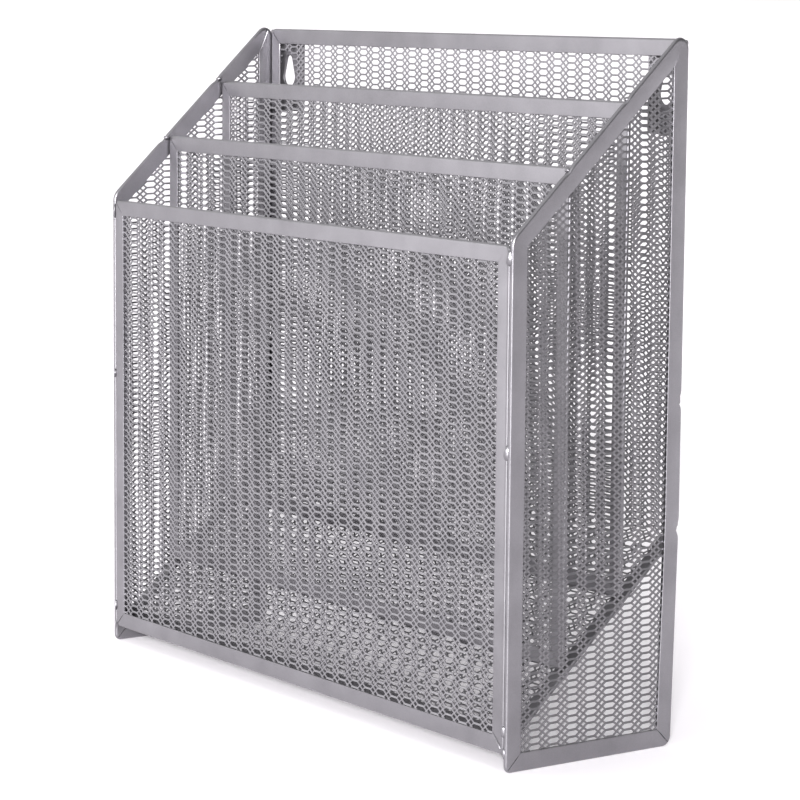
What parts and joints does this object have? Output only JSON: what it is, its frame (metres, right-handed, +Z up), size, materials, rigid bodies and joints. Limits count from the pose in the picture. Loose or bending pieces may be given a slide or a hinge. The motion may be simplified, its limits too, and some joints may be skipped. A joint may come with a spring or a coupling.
{
  "type": "magazine file holder",
  "caption": "Upright desk or wall file holder of framed expanded-metal panels, with stepped pockets, a sloping floor, slanted sides and keyhole hanging tabs.",
  "frame": {"origin": "bottom centre of the bounding box: midway between the sides, midway from the front edge to the rear face of the hanging tabs, at the feet", "axes": "+X across the width, to the right when the low front is faced; +Y from the low front to the high back; +Z up"},
  "size_m": [0.325, 0.0958, 0.3074],
  "materials": {
    "silver_powder_coat": "fine satin silver-grey powder coat over steel"
  },
  "bodies": {
    "root": {"back_left_rail": "silver_powder_coat", "back_mesh": "silver_powder_coat", "back_right_rail": "silver_powder_coat", "back_top_rail": "silver_powder_coat", "divider_1_bottom_rail": "silver_powder_coat", "divider_1_left_rail": "silver_powder_coat", "divider_1_mesh": "silver_powder_coat", "divider_1_right_rail": "silver_powder_coat", "divider_1_top_rail": "silver_powder_coat", "divider_2_bottom_rail": "silver_powder_coat", "divider_2_left_rail": "silver_powder_coat", "divider_2_mesh": "silver_powder_coat", "divider_2_right_rail": "silver_powder_coat", "divider_2_top_rail": "silver_powder_coat", "floor_front_rail": "silver_powder_coat", "floor_left_rail": "silver_powder_coat", "floor_mesh": "silver_powder_coat", "floor_right_rail": "silver_powder_coat", "front_bottom_rail": "silver_powder_coat", "front_left_rail": "silver_powder_coat", "front_mesh": "silver_powder_coat", "front_right_rail": "silver_powder_coat", "front_top_rail": "silver_powder_coat", "left_bottom_rail": "silver_powder_coat", "left_front_top_rail": "silver_powder_coat", "left_hanging_tab": "silver_powder_coat", "left_mesh": "silver_powder_coat", "left_rear_rail": "silver_powder_coat", "right_bottom_rail": "silver_powder_coat", "right_front_top_rail": "silver_powder_coat", "right_hanging_tab": "silver_powder_coat", "right_mesh": "silver_powder_coat", "right_rear_rail": "silver_powder_coat"}
  },
  "joints": []
}
